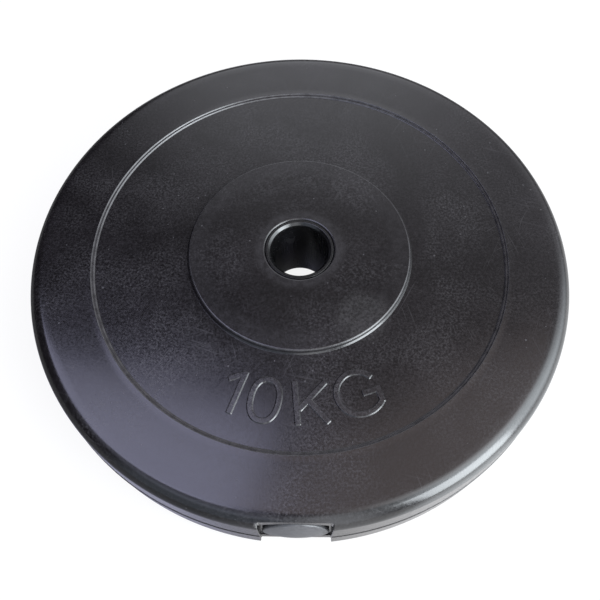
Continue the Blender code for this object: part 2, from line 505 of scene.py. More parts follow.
@dataclass
class Effects:
    """The surface effects that the finishes share, each built once as a node group.

    Scales are features per metre, and a pair is the range in which a noise fades in.
    """

    pebble_share: float = 0.7
    wave_scale: float = 90.0
    wave_height: float = 1.5
    mottle_scales: tuple[float, float] = (26.0, 700.0)
    mottle_shares: tuple[float, float] = (0.4, 0.6)
    mottle_range: tuple[float, float] = (0.36, 0.64)
    bend_scale: float = 18.0
    scratch_bend: float = 0.012
    scratch_layers: tuple[tuple[float, float, float, float], ...] = (
        (17.0, 34.0, 1500.0, 0.1), (74.0, 48.0, 1900.0, 0.3), (118.0, 30.0, 1600.0, 0.5),
        (151.0, 60.0, 2100.0, 0.7),
    )
    scratch_range: tuple[float, float] = (0.70, 0.80)
    scratch_layer_scale: float = 40.0
    scratch_place_scale: float = 30.0
    scratch_places: tuple[float, float] = (0.42, 0.62)
    speck_scale: float = 260.0
    speck_size: float = 0.16
    speck_share: tuple[float, float] = (0.80, 1.0)
    speck_edge: float = 0.05
    fleck_scale: float = 900.0
    fleck_range: tuple[float, float] = (0.38, 0.74)
    cloud_range: tuple[float, float] = (0.36, 0.70)
    cloud_floor: float = 0.20
    ring_fade: float = 0.25
    ring_patch_scale: float = 240.0
    ring_patches: tuple[float, float] = (0.30, 0.62)
    ring_patch_floor: float = 0.45
    spot_fade: float = 0.45
    spot_patch_scale: float = 700.0
    spot_patches: tuple[float, float] = (0.32, 0.60)
    spot_patch_floor: float = 0.35

    def __post_init__(self) -> None:
        """Build the groups."""
        self.grain = self.moulded_grain()
        self.scratches = self.hairline_scratches()
        self.specks = self.dust_specks()
        self.scuffs = self.rubbed_patches()
        self.rings = self.rubbed_and_highlight_ring()
        self.spots = self.scuffed_spot()

    @staticmethod
    def give_mask(
        n: Nodes, given: bpy.types.Node, out: bpy.types.Node, mask: bpy.types.NodeSocket
    ) -> bpy.types.NodeTree:
        """Put a mask out of its group, times the group's amount.

        Args:
            n: Helper of the group's tree.
            given: The group's input node.
            out: The group's output node.
            mask: The mask's socket.

        Returns:
            The group's tree.
        """
        n.feed(out.inputs["Mask"], n.math("MULTIPLY", mask, given.outputs["Amount"], clamp=True))
        return n.tree

    def moulded_grain(self) -> bpy.types.NodeTree:
        """Build the fine pebble of a moulded surface, with slow waves and mottling."""
        n, given, out = new_group(
            "moulded_grain", {"Vector": None, "Scale": 1800.0}, ("Height", "Mottle")
        )
        place, scale = given.outputs["Vector"], given.outputs["Scale"]
        fine = n.add(
            "ShaderNodeTexNoise",
            inputs={"Vector": place, "Scale": scale, "Detail": 2.0, "Roughness": 0.6},
        )
        pebble = n.add("ShaderNodeTexVoronoi", feature="SMOOTH_F1", inputs={"Vector": place})
        n.feed(pebble.inputs["Scale"], n.math("MULTIPLY", scale, self.pebble_share))
        waves = n.noise(place, self.wave_scale)
        height = n.math("MULTIPLY_ADD", fine.outputs[0], 0.6, pebble.outputs["Distance"])
        n.feed(out.inputs["Height"], n.math("MULTIPLY_ADD", waves, self.wave_height, height))
        slow = n.noise(place, self.mottle_scales[0], 4.0)
        quick = n.noise(place, self.mottle_scales[1], 3.0)
        slow = n.math("MULTIPLY", slow, self.mottle_shares[0])
        mixed = n.math("MULTIPLY_ADD", quick, self.mottle_shares[1], slow)
        n.feed(out.inputs["Mottle"], n.ramp(mixed, *self.mottle_range))
        return n.tree

    def hairline_scratches(self) -> bpy.types.NodeTree:
        """Build thin scratches in several directions, each a stretched noise cut thin."""
        n, given, out = new_group("hairline_scratches", {"Vector": None, "Amount": 0.5})
        place = given.outputs["Vector"]
        bend = n.add(
            "ShaderNodeTexNoise",
            inputs={"Vector": place, "Scale": self.bend_scale, "Detail": 1.0},
        )
        bent = n.add("ShaderNodeVectorMath", operation="MULTIPLY_ADD")
        n.feed(bent.inputs[0], bend.outputs["Color"])
        n.feed(bent.inputs[1], (self.scratch_bend, self.scratch_bend, 0.0))
        n.feed(bent.inputs[2], place)
        total: object = 0.0
        for turn, along, across, shift in self.scratch_layers:
            scale = (along, across, self.scratch_layer_scale)
            way = n.placed(bent.outputs[0], turn, scale, (shift, shift, 0.0))
            line = n.ramp(n.noise(way, 1.0, 0.0), *self.scratch_range)
            total = n.math("MAXIMUM", line, total)
        where = n.ramp(n.noise(place, self.scratch_place_scale), *self.scratch_places)
        return self.give_mask(n, given, out, n.math("MULTIPLY", total, where))

    def dust_specks(self) -> bpy.types.NodeTree:
        """Build scattered specks of dust and nicks of mixed size."""
        n, given, out = new_group("dust_specks", {"Vector": None, "Amount": 0.5})
        cells = n.add(
            "ShaderNodeTexVoronoi",
            feature="F1",
            inputs={"Vector": given.outputs["Vector"], "Scale": self.speck_scale},
        )
        split = n.add("ShaderNodeSeparateColor")
        n.feed(split.inputs[0], cells.outputs["Color"])
        size = n.ramp(split.outputs[0], *self.speck_share, (0.0, self.speck_size))
        spot = n.math("SUBTRACT", size, cells.outputs["Distance"])
        return self.give_mask(n, given, out, n.ramp(spot, 0.0, self.speck_edge))

    def rubbed_patches(self) -> bpy.types.NodeTree:
        """Build cloudy patches of fine rubbing."""
        n, given, out = new_group(
            "rubbed_patches", {"Vector": None, "Scale": 22.0, "Amount": 0.5}
        )
        place = given.outputs["Vector"]
        clouds = n.add(
            "ShaderNodeTexNoise",
            inputs={
                "Vector": place, "Scale": given.outputs["Scale"], "Detail": 3.0, "Distortion": 0.6,
            },
        )
        flecks = n.ramp(n.noise(place, self.fleck_scale, 4.0), *self.fleck_range)
        patches = n.ramp(clouds.outputs[0], *self.cloud_range, (self.cloud_floor, 1.0))
        return self.give_mask(n, given, out, n.math("MULTIPLY", patches, flecks))

    def rubbed_and_highlight_ring(self) -> bpy.types.NodeTree:
        """Build a thin pale line round the Z axis, used for rubbing on raised edges and for painted
        highlights on them.
        """
        n, given, out = new_group(
            "rubbed_and_highlight_ring", {"Vector": None, "Radius": 0.05, "Width": 0.0005, "Amount": 0.5}
        )
        place = given.outputs["Vector"]
        part = n.add("ShaderNodeSeparateXYZ")
        n.feed(part.inputs[0], place)
        squares = n.math("MULTIPLY", part.outputs["X"], part.outputs["X"])
        squares = n.math("MULTIPLY_ADD", part.outputs["Y"], part.outputs["Y"], squares)
        apart = n.math("SUBTRACT", n.math("SQRT", squares), given.outputs["Radius"])
        apart = n.math("DIVIDE", n.math("ABSOLUTE", apart), given.outputs["Width"])
        cloud = n.noise(place, self.ring_patch_scale, 3.0)
        patchy = n.ramp(cloud, *self.ring_patches, (self.ring_patch_floor, 1.0))
        line = n.ramp(apart, 1.0, self.ring_fade)
        return self.give_mask(n, given, out, n.math("MULTIPLY", line, patchy))

    def scuffed_spot(self) -> bpy.types.NodeTree:
        """Build a small scuffed spot round a place, as on a knocked corner."""
        n, given, out = new_group(
            "scuffed_spot", {"Vector": None, "Centre": None, "Radius": 0.003, "Amount": 0.5}
        )
        place = given.outputs["Vector"]
        apart = n.add("ShaderNodeVectorMath", operation="DISTANCE")
        n.feed(apart.inputs[0], place)
        n.feed(apart.inputs[1], given.outputs["Centre"])
        share = n.math("DIVIDE", apart.outputs["Value"], given.outputs["Radius"])
        cloud = n.noise(place, self.spot_patch_scale, 3.0)
        patchy = n.ramp(cloud, *self.spot_patches, (self.spot_patch_floor, 1.0))
        disc = n.ramp(share, 1.0, self.spot_fade)
        return self.give_mask(n, given, out, n.math("MULTIPLY", disc, patchy))


# ---------------------------------------------------------------- finishes


@dataclass(frozen=True)
class MouldedPlastic:
    """A black moulded plastic with its grain, its worn marks and, on the shell, painted highlights.
    """

    name: str
    colour: Colour
    worn_colour: Colour
    roughness: float
    worn_roughness: float
    ior: float = 1.62
    grain_scale: float = 1800.0
    grain_depth: float = 0.000006
    mottle: float = 0.35
    scratches: float = 0.35
    specks: float = 0.5
    scuffs: float = 0.40
    scuff_scale: float = 22.0
    # Pale rings round the Z axis as (radius, width, amount): rubbing, and on the shell also painted
    # highlights.
    rubbed_and_highlight_rings: tuple[tuple[float, float, float], ...] = ()
    spots: tuple[tuple[tuple[float, float, float], float, float], ...] = ()
    spot_colour: Colour = (0.13, 0.127, 0.124)
    gloss_play: float = 0.06
    wear_depth: float = 0.5

    def material(self, effects: Effects) -> bpy.types.Material:
        """Build the material.

        Args:
            effects: The shared node groups.

        Returns:
            The new material.
        """
        material = bpy.data.materials.new(self.name)
        material.use_nodes = True
        n = Nodes(material.node_tree)
        shader = material.node_tree.nodes["Principled BSDF"]
        shader.inputs["IOR"].default_value = self.ior
        place = n.add("ShaderNodeTexCoord").outputs["Object"]
        grain = n.group(effects.grain, Vector=place, Scale=self.grain_scale)
        wear_and_highlight = self.wear_and_highlight(n, place, effects)
        dark = tuple(part * (1 - self.mottle) for part in self.colour)
        light = tuple(part * (1 + self.mottle) for part in self.colour)
        base = n.mix(grain.outputs["Mottle"], (*dark, 1.0), (*light, 1.0))
        colour = n.mix(wear_and_highlight, base, (*self.worn_colour, 1.0))
        for centre, radius, amount in self.spots:
            spot = n.group(
                effects.spots, Vector=place, Centre=centre, Radius=radius, Amount=amount
            )
            colour = n.mix(spot.outputs["Mask"], colour, (*self.spot_colour, 1.0))
        n.feed(shader.inputs["Base Color"], colour)
        smoothest = self.roughness - self.gloss_play / 2
        gloss = n.math("MULTIPLY_ADD", grain.outputs["Mottle"], self.gloss_play, smoothest)
        worn = n.math("MULTIPLY_ADD", wear_and_highlight, self.worn_roughness - self.roughness, gloss)
        n.feed(shader.inputs["Roughness"], worn)
        height = n.math("MULTIPLY_ADD", wear_and_highlight, -self.wear_depth, grain.outputs["Height"])
        bump = n.add("ShaderNodeBump", inputs={"Strength": 1.0, "Distance": self.grain_depth})
        n.feed(bump.inputs["Height"], height)
        n.feed(shader.inputs["Normal"], bump.outputs[0])
        return material

    def wear_and_highlight(self, n: Nodes, place: object, effects: Effects) -> object:
        """Add the scratches, specks, scuffs and rubbed rings; on the shell some rings are painted
        highlights.

        Args:
            n: Helper of the material's tree.
            place: Socket of the Object coordinates.
            effects: The shared node groups.

        Returns:
            Socket of the mask where the surface is worn or has painted highlight.
        """
        groups = [
            n.group(effects.scratches, Vector=place, Amount=self.scratches),
            n.group(effects.specks, Vector=place, Amount=self.specks),
            n.group(effects.scuffs, Vector=place, Amount=self.scuffs, Scale=self.scuff_scale),
        ]
        for radius, width, amount in self.rubbed_and_highlight_rings:
            groups.append(
                n.group(effects.rings, Vector=place, Radius=radius, Width=width, Amount=amount)
            )
        total: object = 0.0
        for group in groups:
            total = n.math("MAXIMUM", group.outputs["Mask"], total)
        return total


@dataclass(frozen=True)
class CastFill:
    """The rough cast fill with its grit."""

    name: str = "cast_fill"
    colour: Colour = (0.30, 0.29, 0.27)
    grit_colour: Colour = (0.12, 0.10, 0.09)
    roughness: float = 0.92
    grit_scale: float = 300.0
    grit_edge: tuple[float, float] = (0.25, 0.45)
    cloud_scale: float = 60.0
    cloud_detail: float = 5.0
    cloud_range: tuple[float, float] = (0.4, 0.6)
    pale_gain: float = 1.25
    bump_depth: float = 0.0004

    def material(self) -> bpy.types.Material:
        """Build the material."""
        material = bpy.data.materials.new(self.name)
        material.use_nodes = True
        n = Nodes(material.node_tree)
        shader = material.node_tree.nodes["Principled BSDF"]
        place = n.add("ShaderNodeTexCoord").outputs["Object"]
        grit = n.add("ShaderNodeTexVoronoi", feature="F1", inputs={"Scale": self.grit_scale})
        n.feed(grit.inputs["Vector"], place)
        clouds = n.noise(place, self.cloud_scale, self.cloud_detail)
        grains = n.ramp(grit.outputs["Distance"], *self.grit_edge, (1.0, 0.0))
        stone = n.mix(grains, (*self.colour, 1.0), (*self.grit_colour, 1.0))
        pale = tuple(part * self.pale_gain for part in self.colour)
        patches = n.ramp(clouds, *self.cloud_range)
        n.feed(shader.inputs["Base Color"], n.mix(patches, stone, (*pale, 1.0)))
        shader.inputs["Roughness"].default_value = self.roughness
        bump = n.add("ShaderNodeBump", inputs={"Strength": 1.0, "Distance": self.bump_depth})
        n.feed(bump.inputs["Height"], clouds)
        n.feed(shader.inputs["Normal"], bump.outputs[0])
        return material


class Finish(Enum):
    """The plastics of the plate's pieces."""

    SHELL = MouldedPlastic(
        name="satin_black_shell",
        colour=(0.0045, 0.0038, 0.0043),
        worn_colour=(0.070, 0.067, 0.070),
        roughness=0.18,
        worn_roughness=0.45,
        scratches=0.22,
        scuffs=0.32,
        rubbed_and_highlight_rings=(
            (0.0596, 0.0008, 0.38), (0.0550, 0.0090, 0.09), (0.0200, 0.0070, 0.18),
            # These three rings on the ring step's edges are partly rubbing and partly painted
            # highlight.
            (0.11085, 0.0005, 0.6), (0.1123, 0.0004, 0.6), (0.1115, 0.0014, 0.28),
        ),
        spots=(
            # The second spot lightens a broad patch of the hub's top face towards the near right.
            ((-0.0168, -0.1432, 0.0446), 0.0028, 0.9), ((0.0330, -0.0400, 0.0505), 0.0180, 0.13),
        ),
    )
    SLEEVE = MouldedPlastic(
        name="smooth_black_sleeve",
        colour=(0.003, 0.003, 0.0032),
        worn_colour=(0.03, 0.03, 0.031),
        roughness=0.22,
        worn_roughness=0.50,
        grain_scale=2400.0,
        grain_depth=0.000004,
        scratches=0.5,
        specks=0.2,
        scuffs=0.3,
    )
    MARK = MouldedPlastic(
        name="rubbed_black_mark",
        colour=(0.011, 0.010, 0.011),
        worn_colour=(0.070, 0.067, 0.070),
        roughness=0.22,
        worn_roughness=0.45,
        mottle=0.5,
        specks=0.3,
        scuffs=0.4,
        scuff_scale=60.0,
    )
    PLUG = MouldedPlastic(
        name="grey_black_plug",
        colour=(0.048, 0.048, 0.051),
        worn_colour=(0.20, 0.20, 0.206),
        roughness=0.42,
        worn_roughness=0.60,
        grain_depth=0.000008,
        mottle=0.15,
        scratches=0.3,
        specks=0.2,
        scuffs=0.3,
    )


# ---------------------------------------------------------------- pieces


@dataclass
class MouldedShell:
    """The hollow moulded shell, with the rim notch's edges rounded."""

    sizes: PlateSizes
    steps: int = 320
    arc_steps: int = 8
    small_steps: int = 4
    hollow_arc_steps: int = 2
    rim_steps: int = 18
    shoulder_steps: int = 6
    hollow_steps: int = 96
    port_steps: int = 96
    arch_parts: int = 24
    back_parts: int = 14
    rim_parts: int = 12
    side_parts: int = 8
    meeting_rounds: int = 6
    relief_steps: int = 6
    relief_spare: float = 0.0004
    sharp_angle: float = 25.0
    notch_edge_round: float = 0.00035
    riser_shift: float = 0.0001
    first_riser_width: float = 0.00058
    second_riser_width: float = 0.00045
    low_step_share: float = 0.52
    high_step_share: float = 0.62
    step_foot_round: float = 0.0006
    step_edge_round: float = 0.0002
    step_crest_round: float = 0.0004
    crest_rise: float = 0.0001
    crest_width: float = 0.0022
    foot_start: float = 0.71
    foot_width: float = 0.00075
    foot_round: float = 0.00022
    shoulder_width: float = 0.0095
    shoulder_fall: float = math.radians(2.2)
    shoulder_round: float = 0.07
    ridge_foot_round: float = 0.0002
    ridge_crest_round: float = 0.0001
    name: str = "outer_shell_fine"

    def corners(self, fine: bool) -> list[Corner]:
        """Return the plate's section as corners.

        Args:
            fine: Whether the arcs get their full number of steps.

        Returns:
            Corners (radius, height, rounding, steps), clockwise from the top of the bore.
        """
        s = self.sizes
        rough = self.hollow_arc_steps
        few = self.arc_steps if fine else rough
        hub_foot = s.hub_radius + s.hub_rise * math.tan(s.hub_draft)
        rim_top = s.radius - s.band * math.tan(s.rim_draft)
        plain_rim = [(rim_top, s.band, s.rim_round, self.small_steps)]
        upper = [
            (s.hole_radius, s.mid, s.hub_hole_round, few),
            (s.hub_radius, s.mid, s.hub_edge_round, few),
            *(self.hub_foot() if fine else [(hub_foot, s.dish, s.hub_foot_round, rough)]),
            *(self.ring_steps() if fine else self.ring_slope()),
            *(self.rim_shoulder() if fine else plain_rim),
        ]
        middle = self.ridge() if fine else [(s.radius, 0.0, 0.0, 1)]
        return upper + middle + mirrored(upper)

    def ring_slope(self) -> list[Corner]:
        """Return the corners of the slope from the dish to the band, for the hollow."""
        s = self.sizes
        rough = self.hollow_arc_steps
        foot = s.band_inner_radius - s.band_slope_width
        return [
            (foot, s.dish, s.band_round, rough),
            (s.band_inner_radius, s.band, s.band_round, rough),
        ]

    def hub_foot(self) -> list[Corner]:
        """Return the corners of the small slope at the foot of the hub's wall."""
        s = self.sizes
        start = s.mid - s.hub_rise * self.foot_start
        wall = s.hub_radius + (s.mid - start) * math.tan(s.hub_draft)
        return [
            (wall, start, self.foot_round, self.small_steps),
            (wall + self.foot_width, s.dish, self.foot_round, self.small_steps),
        ]

    def rim_corner(self) -> tuple[float, float]:
        """Return the radius and height of the corner that the rim's arc rounds."""
        s = self.sizes
        height = s.band - self.shoulder_width * math.tan(self.shoulder_fall)
        return s.radius - height * math.tan(s.rim_draft), height

    def rim_shoulder(self) -> list[Corner]:
        """Return the corners of the rim, which falls off gently before its arc."""
        rim_top, height = self.rim_corner()
        start = rim_top - self.shoulder_width
        return [
            (start, self.sizes.band, self.shoulder_round, self.shoulder_steps),
            (rim_top, height, self.sizes.rim_round, self.rim_steps),
        ]

    def rim_arc(self) -> tuple[float, float]:
        """Return the radius and height of the middle of the rim's arc."""
        rim_top, height = self.rim_corner()
        fall, draft = self.shoulder_fall, self.sizes.rim_draft
        above = Vector((math.sin(fall), math.cos(fall)))
        beside = Vector((math.cos(draft), math.sin(draft)))
        middle = (above + beside) / (1 + above.dot(beside)) * self.sizes.rim_round
        return rim_top - middle.x, height - middle.y

    def ring_steps(self) -> list[Corner]:
        """Return the corners of the two small steps from the dish to the band."""
        s = self.sizes
        foot = s.band_inner_radius - s.band_slope_width + self.riser_shift
        head = s.band_inner_radius - self.riser_shift
        low = s.dish + s.band_rise * self.low_step_share
        high = s.dish + s.band_rise * self.high_step_share
        few = self.small_steps
        return [
            (foot, s.dish, self.step_foot_round, self.arc_steps),
            (foot + self.first_riser_width, low, self.step_edge_round, few),
            (head - self.second_riser_width, high, self.step_edge_round, few),
            (head, s.band + self.crest_rise, self.step_crest_round, self.arc_steps),
            (head + self.crest_width, s.band, self.shoulder_round, few),
        ]

    def ridge(self) -> list[Corner]:
        """Return the corners of the trimmed parting ridge."""
        s = self.sizes
        foot = s.ridge_foot_width / 2
        crest = s.ridge_crest_width / 2
        foot_radius = s.radius - foot * math.tan(s.rim_draft)
        crest_radius = s.radius + s.ridge_height
        upper = [
            (foot_radius, foot, self.ridge_foot_round, self.hollow_arc_steps),
            (crest_radius, crest, self.ridge_crest_round, self.hollow_arc_steps),
        ]
        return upper + mirrored(upper)

    def cavity(self) -> bpy.types.Object:
        """Build the hollow, which the fill takes up."""
        s = self.sizes
        moved: list[Corner] = []
        corners = self.corners(fine=False)
        for index, (x, y, radius, steps) in enumerate(corners):
            here = Vector((x, y))
            before = (here - Vector(corners[index - 1][:2])).normalized()
            after = (Vector(corners[(index + 1) % len(corners)][:2]) - here).normalized()
            out_before = Vector((-before.y, before.x))
            out_after = Vector((-after.y, after.x))
            here -= (out_before + out_after) / (1 + out_before.dot(out_after)) * s.shell_wall
            convex = before.cross(after) < 0
            new_radius = radius - s.shell_wall if convex else radius + s.shell_wall
            moved.append((here.x, here.y, max(new_radius, 0.0) if radius else 0.0, steps))
        section = rounded(moved, closed=True)
        hollow = turned("shell_hollow", section, True, self.hollow_steps, s.mid)
        keep = self.notch_block("notch_wall", s.shell_wall, s.seat_floor - s.shell_wall)
        combine(hollow, [keep], "DIFFERENCE")
        return hollow

    def notch_block(
        self, name: str, grow: float, back: float, lean: float = 0.0
    ) -> bpy.types.Object:
        """Build a block of the notch's plan, which widens away from the parting plane.

        Args:
            name: The object's name.
            grow: How much wider the block is on each side.
            back: Distance of its back wall from the bore's axis, at mid-height.
            lean: Angle by which the block leans outwards at the top.

        Returns:
            The block.
        """
        s = self.sizes
        reach = s.mid + s.cut_margin
        outside = s.radius + s.cut_margin
        loops = []
        for height in (reach, 0.0, -reach):
            side = s.notch_half_width + grow + abs(height) * math.tan(s.notch_side_draft)
            corners = [
                (-side, -outside, 0.0, 1),
                (-side, -back, s.notch_corner_round, self.small_steps),
                (side, -back, s.notch_corner_round, self.small_steps),
                (side, -outside, 0.0, 1),
            ]
            outline = rounded(corners, closed=True)
            shift = height * math.tan(lean)
            loops.append([Vector((p.x, p.y - shift, s.mid + height)) for p in outline])
        return lofted(name, loops, cyclic=False)

    def notch_edge(self, up: int) -> list[tuple[Vector, Vector, Vector]]:
        """Follow a quarter of the notch's edge, from the middle of its back to mid-height.

        Args:
            up: 1 for the upper face and -1 for the lower one, drawn as if it were upper.

        Returns:
            Places on the edge, each with the plate's and the notch wall's normals, measured
            from the parting plane.
        """
        s = self.sizes
        arc_radius, arc_height = self.rim_arc()
        slope = math.tan(s.notch_side_draft)
        corner = s.notch_corner_round
        edge: list[tuple[Vector, Vector, Vector]] = []

        def on_arc(plan: Callable[[float], tuple[float, float, Vector]]) -> None:
            """Add the place where a plan point that depends on height meets the rim's arc."""
            height = s.band
            for _ in range(self.meeting_rounds):
                x, y, wall = plan(height)
                y -= up * height * math.tan(s.notch_back_lean)
                distance = math.hypot(x, y)
                tilt = math.asin(min(max((distance - arc_radius) / s.rim_round, 0.0), 1.0))
                height = arc_height + s.rim_round * math.cos(tilt)
            outward = Vector((x, y, 0.0)) / distance
            normal = outward * math.sin(tilt) + Vector((0.0, 0.0, math.cos(tilt)))
            edge.append((Vector((x, y, height)), normal, wall))

        def side(height: float) -> float:
            """Return the side wall's distance from the notch's middle at a height."""
            return s.notch_half_width + height * slope

        back = Vector((0.0, -1.0, 0.0))
        for step in range(self.back_parts):
            share = step / self.back_parts
            on_arc(lambda h, share=share: ((side(h) - corner) * share, -s.notch_back, back))
        for step in range(self.small_steps + 1):
            turn = math.radians(90) * step / self.small_steps
            lean = Vector((math.sin(turn), math.cos(turn), 0.0))

            def plan(h: float, lean: Vector = lean) -> tuple[float, float, Vector]:
                """Return a point of the plan's round corner at a height."""
                x = side(h) - corner + corner * lean.x
                return x, -s.notch_back - corner + corner * lean.y, -lean

            on_arc(plan)
        wall = Vector((-math.cos(s.notch_side_draft), 0.0, math.sin(s.notch_side_draft)))
        place = edge[-1][0]
        first = math.asin((math.hypot(place.x, place.y) - arc_radius) / s.rim_round)
        last = math.radians(90) - s.rim_draft
        for step in range(1, self.rim_parts + 1):
            tilt = first + (last - first) * step / self.rim_parts
            height = arc_height + s.rim_round * math.cos(tilt)
            distance = arc_radius + s.rim_round * math.sin(tilt)
            self.add_side(edge, side(height), distance, height, tilt, wall)
        top = edge[-1][0].z
        for step in range(1, self.side_parts + 1):
            height = top * (1 - step / self.side_parts)
            distance = s.radius - height * math.tan(s.rim_draft)
            self.add_side(edge, side(height), distance, height, last, wall)
        return edge

    @staticmethod
    def add_side(
        edge: list, x: float, distance: float, height: float, tilt: float, wall: Vector
    ) -> None:
        """Add a place on the notch's side wall to the edge.

        Args:
            edge: The edge's places so far.
            x: Distance of the side wall from the notch's middle.
            distance: Distance from the bore's axis.
            height: Height above the parting plane.
            tilt: Angle of the plate's normal from the vertical.
            wall: The side wall's normal.
        """
        y = -math.sqrt(distance**2 - x**2)
        outward = Vector((x, y, 0.0)) / distance
        normal = outward * math.sin(tilt) + Vector((0.0, 0.0, math.cos(tilt)))
        edge.append((Vector((x, y, height)), normal, wall))

    def edge_relief(self) -> bpy.types.Object:
        """Build the band that rounds the notch's edge when it is cut away."""
        flips = [((1, 1), False), ((1, -1), True), ((-1, -1), False), ((-1, 1), True)]
        loops = []
        for (across, up), reverse in flips:
            flip = Vector((across, 1.0, up))
            part = [tuple(v * flip for v in row) for row in self.notch_edge(up)]
            part = part[::-1] if reverse else part
            loops += [self.relief_loop(*row) for row in part[:-1]]
        return lofted("notch_edge_relief", loops, cyclic=True)

    def relief_loop(self, place: Vector, plate: Vector, wall: Vector) -> list[Vector]:
        """Return the section of the edge's relief at one place.

        Args:
            place: The place on the edge, from the parting plane.
            plate: The plate's normal there.
            wall: The notch wall's normal there.

        Returns:
            The section's points.
        """
        radius = self.notch_edge_round
        spare = self.relief_spare
        middle = (plate + wall) / (1 + plate.dot(wall))
        centre = place - middle * radius
        arc = []
        for step in range(self.relief_steps + 1):
            lean = plate.lerp(wall, step / self.relief_steps).normalized()
            arc.append(centre + lean * radius)
        loop = [arc[0] + plate * spare, *arc, arc[-1] + wall * spare, place + middle * spare]
        return [point + Vector((0.0, 0.0, self.sizes.mid)) for point in loop]

    def pocket(self) -> bpy.types.Object:
        """Build what sinks the plug's pocket, with arched ends, in the notch's back wall."""
        s = self.sizes
        parts = self.arch_parts
        side = s.pocket_half_width + s.pocket_half_height * math.tan(s.notch_side_draft)
        shares = [2 * step / parts - 1 for step in range(parts + 1)]
        arch = [
            (side * share, s.pocket_half_height + s.pocket_arch_rise * (1 - share**2))
            for share in shares
        ]
        lower = [(x, -height) for x, height in reversed(arch)]
        middle = s.pocket_half_width
        outline = [*arch, (middle, 0.0), *lower, (-middle, 0.0)]
        ends = (s.seat_floor, s.radius + s.cut_margin)
        loops = [[Vector((x, -end, s.mid + height)) for x, height in outline] for end in ends]
        return lofted("plug_pocket", loops, cyclic=False)

    def port(self) -> bpy.types.Object:
        """Build what opens the filler port in the pocket's floor."""
        s = self.sizes
        corners = [
            (0.0, s.radius + s.cut_margin, 0.0, 1),
            (s.port_radius, s.radius + s.cut_margin, 0.0, 1),
            (s.port_radius, s.seat_floor - s.cut_margin, 0.0, 1),
            (0.0, s.seat_floor - s.cut_margin, 0.0, 1),
        ]
        section = rounded(corners, closed=False)
        cutter = turned("filler_port", section, False, self.port_steps)
        lay_along_notch(cutter, s)
        return cutter

    def build(self) -> bpy.types.Object:
        """Build the shell."""
        s = self.sizes
        section = rounded(self.corners(fine=True), closed=True)
        shell = turned(self.name, section, True, self.steps, s.mid)
        notch = self.notch_block("rim_notch", 0.0, s.notch_back, s.notch_back_lean)
        combine(shell, [notch, self.edge_relief()], "DIFFERENCE")
        combine(shell, [self.cavity(), self.pocket(), self.port()], "DIFFERENCE")
        shade(shell, self.sharp_angle)
        return shell


def lay_along_notch(obj: bpy.types.Object, sizes: PlateSizes) -> None:
    """Turn a mesh whose axis is Z to point along -Y at mid-height, in its vertices.

    Args:
        obj: The object whose mesh is turned.
        sizes: The plate's sizes.
    """
    turn = Matrix.Rotation(math.radians(90), 4, "X")
    obj.data.transform(Matrix.Translation((0.0, 0.0, sizes.mid)) @ turn)


@dataclass
class BoreSleeve:
    """The tube that lines the bore."""

    sizes: PlateSizes
    steps: int = 192
    lip_steps: int = 6
    lip_depth: float = 1.4
    lip_knee: tuple[float, float] = (0.25, 0.75)
    lip_round: float = 0.0008
    land_round: float = 0.00015
    land_steps: int = 3
    sharp_angle: float = 40.0
    name: str = "bore_sleeve_fine"

    def build(self) -> bpy.types.Object:
        """Build the sleeve."""
        s = self.sizes
        top = s.mid - s.sleeve_end_recess
        lip = s.sleeve_wall - s.sleeve_end_land
        out, down = self.lip_knee
        upper = [
            (s.bore_radius, top - lip * self.lip_depth, self.lip_round, self.lip_steps),
            (s.bore_radius + lip * out, top - lip * down, self.lip_round, self.lip_steps),
            (s.bore_radius + lip, top, self.lip_round / 2, self.lip_steps),
            (s.sleeve_radius, top, self.land_round, self.land_steps),
        ]
        corners = upper + mirrored(upper)
        sleeve = turned(self.name, rounded(corners, closed=True), True, self.steps, s.mid)
        shade(sleeve, self.sharp_angle)
        return sleeve


@dataclass
class FillerPlug:
    """The push-in plug: a low round head on a hollow stem with barbs."""

    sizes: PlateSizes
    steps: int = 128
    dome_steps: int = 10
    head_steps: int = 8
    sharp_angle: float = 30.0
    stem_wall: float = 0.0018
    stem_tip: float = 0.0010
    web: float = 0.0018
    barb_count: int = 3
    barb_pitch: float = 0.0024
    barb_length: float = 0.0019
    barb_back_slope: float = 0.0004
    barb_height: float = 0.0010
    name: str = "filler_plug_fine"

    def section(self) -> list[Vector]:
        """Return half of the plug's section, from the crown of its head to the stem's web."""
        s = self.sizes
        crown = []
        for step in range(self.dome_steps):
            share = step / self.dome_steps
            height = s.plug_head_thickness + s.plug_dome_rise * (1 - share**2)
            crown.append((s.plug_head_radius * share, height, 0.0, 1))
        edge = (
            s.plug_head_radius, s.plug_head_thickness, s.plug_head_round, self.head_steps
        )
        head = rounded(crown + [edge, (s.plug_head_radius, s.fit, 0.0, 1)], closed=False)
        stem_radius = s.port_radius - s.fit
        stem_length = s.shell_wall + s.fit + self.barb_count * self.barb_pitch + self.stem_tip
        stem = [Vector((stem_radius, s.fit))]
        for index in range(self.barb_count):
            shoulder = -s.shell_wall - s.fit - index * self.barb_pitch
            stem.append(Vector((stem_radius, shoulder)))
            stem.append(Vector((stem_radius + self.barb_height, shoulder - self.barb_back_slope)))
            stem.append(Vector((stem_radius, shoulder - self.barb_length)))
        inner = stem_radius - self.stem_wall
        web = s.plug_head_thickness - self.web
        ends = ((stem_radius, -stem_length), (inner, -stem_length), (inner, web), (0.0, web))
        return head + stem + [Vector(end) for end in ends]

    def build(self) -> bpy.types.Object:
        """Build the plug in its seat."""
        section = [Vector((p.x, p.y + self.sizes.seat_floor)) for p in self.section()]
        plug = turned(self.name, section, False, self.steps)
        lay_along_notch(plug, self.sizes)
        shade(plug, self.sharp_angle)
        return plug


@dataclass(frozen=True)
class Stroke:
    """A stroke of the weight mark: the line it follows, in millimetres from the bore's axis."""

    line: tuple[tuple[float, float], ...]
    smooth: bool = False
    closed: bool = False


@dataclass(frozen=True)
class Sign:
    """One sign of the weight mark, turned about the bore's axis to its place."""

    turn: float
    strokes: tuple[Stroke, ...]


